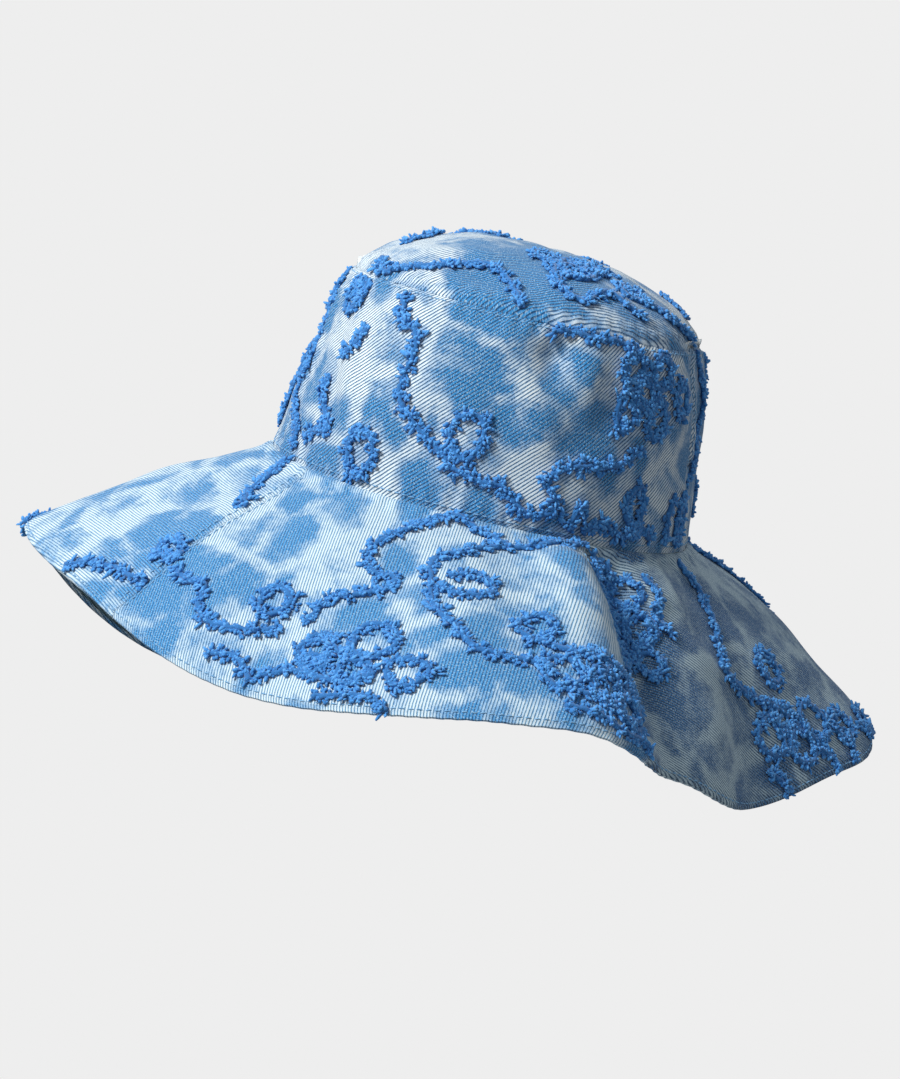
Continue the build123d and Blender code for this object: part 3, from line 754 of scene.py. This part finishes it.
def embroidery(name, shape, inside, seed):
    # cut tufts that fan out of a rough core: short tapering curves with bent ends, on both sides of each line
    draw = np.random.default_rng(seed)
    tufts, cores = [], []
    paths = [smoothLine(line).T for line in lines[shape]]
    paths += [ringLine(shape, *ring) for ring in rings[shape]]
    for azimuths, alongs in paths:
        points, normals, ahead, azimuth = evenLine(shape, azimuths, alongs, .001 / yarnLook["density"])
        keep = inside(azimuth)
        if keep.sum() < 8:
            continue
        points, normals, ahead = points[keep], normals[keep], ahead[keep]
        side = np.cross(normals, ahead)
        count = len(points)
        # tufts come in clumps that lean the same way
        clump = np.repeat(draw.normal(0, 1, (count // yarnLook["clump"] + 1, 3)), yarnLook["clump"],
                          axis=0)[:count]
        lean = draw.uniform(-1, 1, count) * .7 + clump[:, 0] * .42
        root = points + side * (lean * yarnLook["spread"])[:, None] + normals * .0004
        way = (normals * draw.uniform(.25, 1.1, count)[:, None]
               + side * (lean * 1.1 + draw.normal(0, .3, count))[:, None]
               + ahead * (clump[:, 1] * .45 + draw.normal(0, .35, count))[:, None])
        way /= np.linalg.norm(way, axis=-1, keepdims=True)
        length = draw.uniform(*yarnLook["length"], count) * (1 + .4 * clump[:, 2].clip(-1.2, 1.2))
        bend = (side * draw.normal(0, .5, count)[:, None] + ahead * draw.normal(0, .5, count)[:, None]
                - normals * draw.uniform(.1, .7, count)[:, None])
        t = np.linspace(0, 1, yarnLook["samples"])[None, :, None]
        curves = root[:, None] + (way[:, None] * t + bend[:, None] * t ** 2 * .45) * length[:, None, None]
        size = draw.uniform(.7, 1.25, count)
        tufts.append((curves, size, .30 + .4 * draw.random(count) + .12 * clump[:, 2]))
        core = np.arange(0, count, yarnLook["coreEvery"])
        if len(core) > 3:
            height = yarnLook["core"] * .5
            rough = side[core] * draw.normal(0, .0003, len(core))[:, None]
            middle = points[core] + normals[core] * height + rough
            cores.append((middle[None], yarnLook["core"] * draw.uniform(.8, 1.2, (1, len(core))),
                          normals[core][None]))
    curves, size, shade = (np.concatenate(part) for part in zip(*tufts))
    tuftVerts, faces = carry(curves, yarnLook["radius"] * size[:, None] * yarnLook["ends"],
                             yarnLook["sides"])
    verts = [tuftVerts.reshape(-1, 3)]
    # each tuft's random tone, plus painted shade towards its root and painted light towards its end
    shades = [np.clip(shade[:, None] + yarnLook["shading"], 0, 1).repeat(yarnLook["sides"], axis=1).ravel()]
    first = len(verts[0])
    for middle, radius, normal in cores:
        coreVerts, coreFaces = carry(middle, radius, yarnLook["coreSides"], normal)
        verts.append(coreVerts.reshape(-1, 3))
        faces += [[corner + first for corner in face] for face in coreFaces]
        # the cores take a colour near the dark root, which is painted shade under the tufts
        shades.append(np.full(len(verts[-1]), .12))
        first += len(verts[-1])
    piece = newPiece(name, np.concatenate(verts), faces, tuftedYarn,
                     tuft=np.concatenate(shades))
    print(name, len(piece.data.polygons), "faces")
    return piece


def between(start, end):  # whether an azimuth is on the panel from start to end
    return lambda azimuth: (azimuth - start) % 360 < (end - start)


name = "crown_tip_embroidery"
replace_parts(embroidery(name, "tip", lambda azimuth: np.ones(azimuth.shape, bool), 21), name)
for number, (side, ends) in enumerate(wallSeams.items()):
    name = f"side_crown_{side}_embroidery"
    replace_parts(embroidery(name, "wall", between(*ends), 31 + number), name)
for number, (side, ends) in enumerate(brimSeams.items()):
    name = f"brim_top_{side}_embroidery"
    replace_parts(embroidery(name, "brim", between(*ends), 41 + number), name)
print("embroidery made")


def facing(beside, above, back, place):  # the matrix of an object with these three directions, at a place
    return Matrix([*np.stack([beside, above, back, place], 1).tolist(), [0, 0, 0, 1]])


# seen is the height that the image shows at the hat, and glow is how strongly the surroundings light it
studio = dict(distance=1.45, elevation=7.0, roll=14.0, aim=(.0126, .0195), seen=.4532, floor=-.42,
              pale="#eeeeee", glow=.52)
lift, roll = np.radians(studio["elevation"]), np.radians(studio["roll"])
look = np.array([0, np.cos(lift), -np.sin(lift)])
level, rise = np.array([1.0, 0, 0]), np.array([0, np.sin(lift), np.cos(lift)])
right, up = np.cos(roll) * level + np.sin(roll) * rise, np.cos(roll) * rise - np.sin(roll) * level
spot = -right * studio["aim"][0] - up * studio["aim"][1] - look * studio["distance"]
camera = bpy.data.objects.new("camera", bpy.data.cameras.new("camera"))
camera.matrix_world = facing(right, up, -look, spot)
camera.data.lens = 36 * studio["distance"] / studio["seen"]  # the sensor's 36 mm is the image's height
bpy.context.collection.objects.link(camera)
bpy.context.scene.camera = camera
bpy.context.scene.view_settings.view_transform = "Standard"  # keeps the blues as strong as the cloth's

u, v = np.meshgrid(np.linspace(-40, 40, 3), np.linspace(-40, 40, 3), indexing="ij")
floorMesh = bpy.data.meshes.new("floor")
floorMesh.from_pydata(np.stack([u, v, 0 * u + studio["floor"]], -1).reshape(-1, 3).tolist(), [],
                      gridFaces(3, 3).tolist())
# Uncoated paper, evenly lit: the eye sees one pale grey, and its edge with the backdrop can't be seen.
floorMaterial, tree, shader = newMaterial("mattPaper", studio["pale"], .9)
shader.inputs["Base Color"].default_value = (.4, .4, .4, 1)  # it gives back less light than it shows
even = addNode(tree, "ShaderNodeEmission", inputs=dict(Color=linear(studio["pale"])))
seen = addNode(tree, "ShaderNodeMixShader",
               inputs={0: addNode(tree, "ShaderNodeLightPath").outputs["Is Camera Ray"],
                                                    1: shader.outputs[0], 2: even.outputs[0]})
tree.links.new(seen.outputs[0], tree.nodes["Material Output"].inputs["Surface"])
floorMesh.materials.append(floorMaterial)
floor = bpy.data.objects.new("floor", floorMesh)
bpy.context.collection.objects.link(floor)

world = bpy.data.worlds.new("studio")
world.use_nodes = True
world.node_tree.nodes["Background"].inputs["Color"].default_value = linear(studio["pale"])
direct = addNode(world.node_tree, "ShaderNodeLightPath").outputs["Is Camera Ray"]
seen = addNode(world.node_tree, "ShaderNodeMapRange",
               inputs={"Value": direct, "To Min": studio["glow"], "To Max": 1.0})
world.node_tree.links.new(seen.outputs[0], world.node_tree.nodes["Background"].inputs["Strength"])
bpy.context.scene.world = world


def softLight(name, place, size, power, colour="#ffffff"):
    # a square area light that faces the hat
    lamp = bpy.data.lights.new(name, "AREA")
    lamp.size, lamp.energy, lamp.color = size, power, linear(colour)[:3]
    holder = bpy.data.objects.new(name, lamp)
    away = -np.array(place) / np.linalg.norm(place)
    beside = np.cross(away, [0, 0, 1]) / np.linalg.norm(np.cross(away, [0, 0, 1]))
    above = np.cross(beside, away)
    holder.matrix_world = facing(beside, above, -away, place)
    bpy.context.collection.objects.link(holder)


softLight("key", (-1.4, -1.0, 1.15), .6, 64, "#fffaf4")
softLight("back", (.1, 1.5, 1.6), 1.0, 12)
print("studio set")
